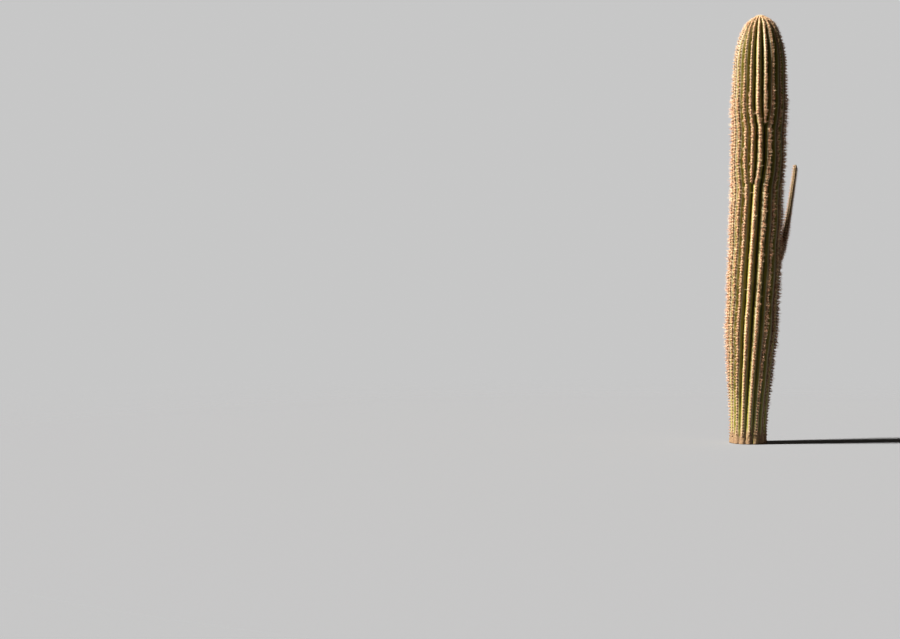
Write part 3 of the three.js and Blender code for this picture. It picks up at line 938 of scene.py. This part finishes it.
def wool_cushion(finish):
    rows = []
    turn = 2 * math.pi * np.arange(WOOL_COLUMNS) / WOOL_COLUMNS
    for k in range(WOOL_RINGS):
        share = 1 - k / WOOL_RINGS
        reach = WOOL_RADIUS * share
        x, y = reach * np.sin(turn), -reach * np.cos(turn)
        lumps = [noise.noise(Vector((150 * a, 150 * b, 3.0))) for a, b in zip(x, y)]
        rise = WOOL_HEIGHT * (1 - share**3) + WOOL_LUMP * np.array(lumps) - WOOL_TUCK * (k == 0)
        rows.append(np.stack([float(axis_x(HEIGHT)) + x, y, dome_height(reach) + rise], axis=1))
    points = np.concatenate([*rows, [[float(axis_x(HEIGHT)), 0, HEIGHT + WOOL_HEIGHT]]])
    tip = len(points) - 1
    last = tip - WOOL_COLUMNS
    faces = grid_faces(WOOL_RINGS, WOOL_COLUMNS)
    faces += [[last + i, last + (i + 1) % WOOL_COLUMNS, tip] for i in range(WOOL_COLUMNS)]
    make_piece("crown_wool", points, faces, finish, "wool", ["crown_cap"])


def young_areoles():
    number = np.arange(YOUNG_AREOLES) + 0.5
    reach = WOOL_RADIUS * np.sqrt(number / YOUNG_AREOLES)
    turn = number * GOLDEN_TURN
    rise = WOOL_HEIGHT * (1 - (reach / WOOL_RADIUS) ** 3)
    away = np.stack([np.sin(turn), -np.cos(turn), 0 * turn], axis=1)
    point = np.array([float(axis_x(HEIGHT)), 0, 0]) + away * reach[:, None]
    point[:, 2] = dome_height(reach) + rise - 0.001
    out = np.array([0, 0, 1.0]) + away * (reach / WOOL_RADIUS)[:, None] * YOUNG_SLOPE
    out /= np.linalg.norm(out, axis=1, keepdims=True)
    side = np.stack([np.cos(turn), np.sin(turn), 0 * turn], axis=1)
    return {"rib": number.astype(int), "point": point, "out": out, "side": side,
            "along": np.cross(out, side), "full": np.ones(YOUNG_AREOLES)}


wool_cushion(felt_finish("crown_wool", paint("b79e78")))
tip_areoles = young_areoles()
tip_ranks = [rank_of_spines(tip_areoles, np.ones(YOUNG_AREOLES), *numbers) for numbers in TIP_RANKS]
for number, colour in enumerate(("straw", "pink_tan")):
    mine = [(rank["draw"] > STRAW_AT_TIP) == bool(number) for rank in tip_ranks]
    make_piece(f"crown_spines_{colour}", *spine_mesh(tip_ranks, mine), spine_finishes[colour], "spines")

# %% [markdown]
# The arm is young and slender. Its areoles are as far apart as the column's, but smaller, and its
# spines are short and fine, apart from the older ones near the elbow.
# The same helpers dress it.

# %% Pads and spines of the arm
ARM_SPINES_FROM = 0.12
ARM_SPINES_END = 0.992  # share of the arm's length
ARM_SPINE_SIZE = (0.9, 0.48)
ARM_SPINE_FADE = (2.0, 2.45)  # heights between which the size changes
ARM_PAD_SIZE = 0.5
COLOURED_AS_AT = 0.9  # height on the column where the spines have the arm's colours


def arm_areoles():
    arcs, turns = [], []
    for rib in range(ARM_RIBS):
        count = np.arange(ARM_LENGTH / ARM_PITCH + 1) - ARM_STAGGER * rib
        arc = count * ARM_PITCH
        arc = arc[(arc > ARM_SPINES_FROM) & (arc < ARM_SPINES_END * ARM_LENGTH)]
        arcs.append(arc)
        turns.append(np.full(len(arc), rib + 0.5))
    arc, turn = np.concatenate(arcs), np.concatenate(turns)
    point, _, _, radial = arm_points(arc, turn)
    along = arm_frame(arc)[1]
    return {"rib": turn.astype(int), "point": point, "out": radial, "along": along,
            "side": np.cross(along, radial), "full": np.ones(len(arc))}


arm_base = arm_areoles()
arm_size = mix(*ARM_SPINE_SIZE, ease(arm_base["point"][:, 2], *ARM_SPINE_FADE))
felt_pads("arm_felt_pads", arm_base, felt_finish("arm_felt", paint("7c6045")), ARM_PAD_SIZE)
arm_ranks = [rank_of_spines(arm_base, arm_size, *numbers) for numbers in RANKS.values()]
arm_colours = [deal_colours(rank["draw"], COLOURED_AS_AT + 0 * rank["draw"]) for rank in arm_ranks]
arm_rows = [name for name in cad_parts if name.startswith("arm_spine_row_")]
for number, colour in enumerate(SPINE_COLOURS):
    mine = [drawn == number for drawn in arm_colours]
    make_piece(f"arm_spines_{colour}", *spine_mesh(arm_ranks, mine), spine_finishes[colour],
               "spines", arm_rows if number == 0 else ())

# %% [markdown]
# The plant stands on a plain pale floor. A floor with an edge would draw a line behind the plant,
# and a wall would stand in the way of the views from behind. So the floor is one large disc that
# fades out long before its edge, and the pale surroundings show through. The camera sees them pale,
# but they shed only a dim light, since a bright one would fill the dark valleys between the ribs.

# %% Floor and surroundings
FLOOR_RADIUS = 16.0
FLOOR_FADE = (3.5, 14.0)
FLOOR_SIDES = 96
FLOOR_SINK = 0.0005
DIM_LIGHT = (0.026, 0.025, 0.023, 1)
PALE_GREY = (0.5, 0.5, 0.5, 1)


def floor_disc():
    turn = 2 * math.pi * np.arange(FLOOR_SIDES) / FLOOR_SIDES
    rim = FLOOR_RADIUS * np.stack([np.cos(turn), np.sin(turn), 0 * turn], axis=1)
    mesh = bpy.data.meshes.new("floor")
    mesh.from_pydata(rim - [0, 0, FLOOR_SINK], [], [list(range(FLOOR_SIDES))])
    finish, shader = new_finish("pale_floor", 0.9)
    shader.inputs["Base Color"].default_value = paint("8d9095")
    shader.inputs["Specular IOR Level"].default_value = 0.0
    place = add_node(finish, "TexCoord", {}).outputs["Object"]
    reach = add_node(finish, "VectorMath", {0: place}, operation="LENGTH").outputs["Value"]
    clear = add_node(finish, "BsdfTransparent", {}).outputs[0]
    fade = ramp(finish, reach, *FLOOR_FADE)
    faded = add_node(finish, "MixShader", {0: fade, 1: shader.outputs[0], 2: clear}).outputs[0]
    join(finish, faded, finish.node_tree.nodes["Material Output"].inputs["Surface"])
    mesh.materials.append(finish)
    floor = bpy.data.objects.new("floor", mesh)
    bpy.context.scene.collection.objects.link(floor)


floor_disc()
surroundings = bpy.data.worlds.new("pale_surroundings")
bpy.context.scene.world = surroundings
surroundings.use_nodes = True
dim = surroundings.node_tree.nodes["Background"]
dim.inputs["Color"].default_value = DIM_LIGHT
pale = add_node(surroundings, "Background", {"Color": PALE_GREY}).outputs[0]
seen = add_node(surroundings, "LightPath", {}).outputs["Is Camera Ray"]
both = add_node(surroundings, "MixShader", {0: seen, 1: dim.outputs[0], 2: pale}).outputs[0]
join(surroundings, both, surroundings.node_tree.nodes["World Output"].inputs["Surface"])

# %% [markdown]
# Low sun from the left models the ribs in the photo: bright left flanks, dark valleys and a shaded
# right side. In the studio one far lamp stands in for it. Its light is softened by its spread, and
# it reaches the foot and the top alike. A weak, wide and warm lamp from behind on the right stands
# in for the light that the surroundings throw back, and keeps the shade from going black.

# %% Lamps
LAMP_DISTANCE = 8


def add_lamp(name, towards, height, spread, strength, colour):
    """A far lamp. towards is measured from the front, spread is how wide it looks from the plant."""
    angle, lift = math.radians(towards), math.radians(height)
    way = Vector((math.sin(angle) * math.cos(lift), -math.cos(angle) * math.cos(lift), math.sin(lift)))
    lamp = bpy.data.lights.new(name, "SUN")
    lamp.angle = math.radians(spread)
    lamp.energy = strength
    lamp.color = colour
    holder = bpy.data.objects.new(name, lamp)
    holder.location = LAMP_DISTANCE * way
    holder.rotation_euler = (-way).to_track_quat("-Z", "Y").to_euler()
    bpy.context.scene.collection.objects.link(holder)
    print(name, "stands", towards, "degrees from the front and", height, "degrees up")


add_lamp("key_lamp", towards=-67, height=34, spread=8, strength=10.2, colour=(1.0, 0.95, 0.88))
add_lamp("bounce_lamp", towards=116, height=10, spread=60, strength=0.5, colour=(1.0, 0.83, 0.68))

# %% [markdown]
# The photo was taken at eye height, level, from 13 m in front of the plant, with the plant to the
# right of the middle. The camera repeats that, so the render and the photo can be laid over each
# other. Colours are shown without a film curve, only with a little more contrast.

# %% Camera
CAMERA_PLACE = (0.0876, -12.87, 1.235)
CAMERA_TURN = 13.8  # degrees to the left

camera_data = bpy.data.cameras.new("camera")
camera_data.lens = 50
camera_data.sensor_width = 36
camera = bpy.data.objects.new("camera", camera_data)
camera.location = CAMERA_PLACE
camera.rotation_euler = (math.radians(90), 0, math.radians(CAMERA_TURN))
bpy.context.scene.collection.objects.link(camera)
bpy.context.scene.camera = camera
bpy.context.scene.view_settings.view_transform = "Standard"
bpy.context.scene.view_settings.look = "Medium High Contrast"
